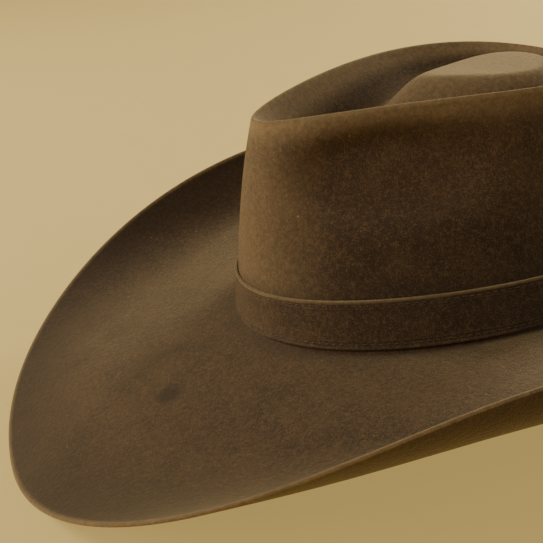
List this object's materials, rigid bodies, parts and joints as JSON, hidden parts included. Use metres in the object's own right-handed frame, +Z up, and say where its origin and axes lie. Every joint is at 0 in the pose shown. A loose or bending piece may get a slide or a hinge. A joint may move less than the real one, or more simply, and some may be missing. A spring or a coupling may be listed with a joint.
{
  "type": "cowboy hat",
  "caption": "Wide-brimmed felt hat with a creased, side-dented crown, rolled brim sides, stitched hatband with a flat bow, leather sweatband and satin lining.",
  "frame": {"origin": "on the surface that the hat stands on, under the middle of the brim", "axes": "+Y towards the back of the hat, +X towards the wearer's left, +Z up; the hat stands on the front and back edges of its brim"},
  "size_m": [0.3734, 0.4662, 0.1637],
  "materials": {
    "felt": "dark brown fur felt with a short brushed nap, matt",
    "band": "dark brown felt band with stitched borders, matt",
    "bow": "dark brown grosgrain ribbon",
    "leather": "tan-brown sweatband leather, satin, worn",
    "reed": "natural plastic reed",
    "tape": "woven cotton tape",
    "lining": "bronze satin lining",
    "piping": "satin-covered cord",
    "film": "clear plastic film, glossy",
    "label": "plain cream paper, blank"
  },
  "bodies": {
    "hat": {"felt_body": "felt", "sweatband": "leather", "sweatband_reed": "reed", "reed_tape": "tape", "back_seam_tape": "tape", "sweatband_bow_loops": "bow", "sweatband_bow_knot": "bow", "size_label": "label", "lining_side": "lining", "lining_tip": "lining", "lining_piping": "piping", "tip_shield": "film"},
    "band": {"hatband": "band", "bow_loops": "bow", "bow_tail": "bow", "bow_keeper": "bow"}
  },
  "joints": [
    {"name": "hatband_lift", "type": "slide", "parent": "hat", "child": "band", "axis": [0, 0, 1], "range_m": [0, 0.15]}
  ]
}
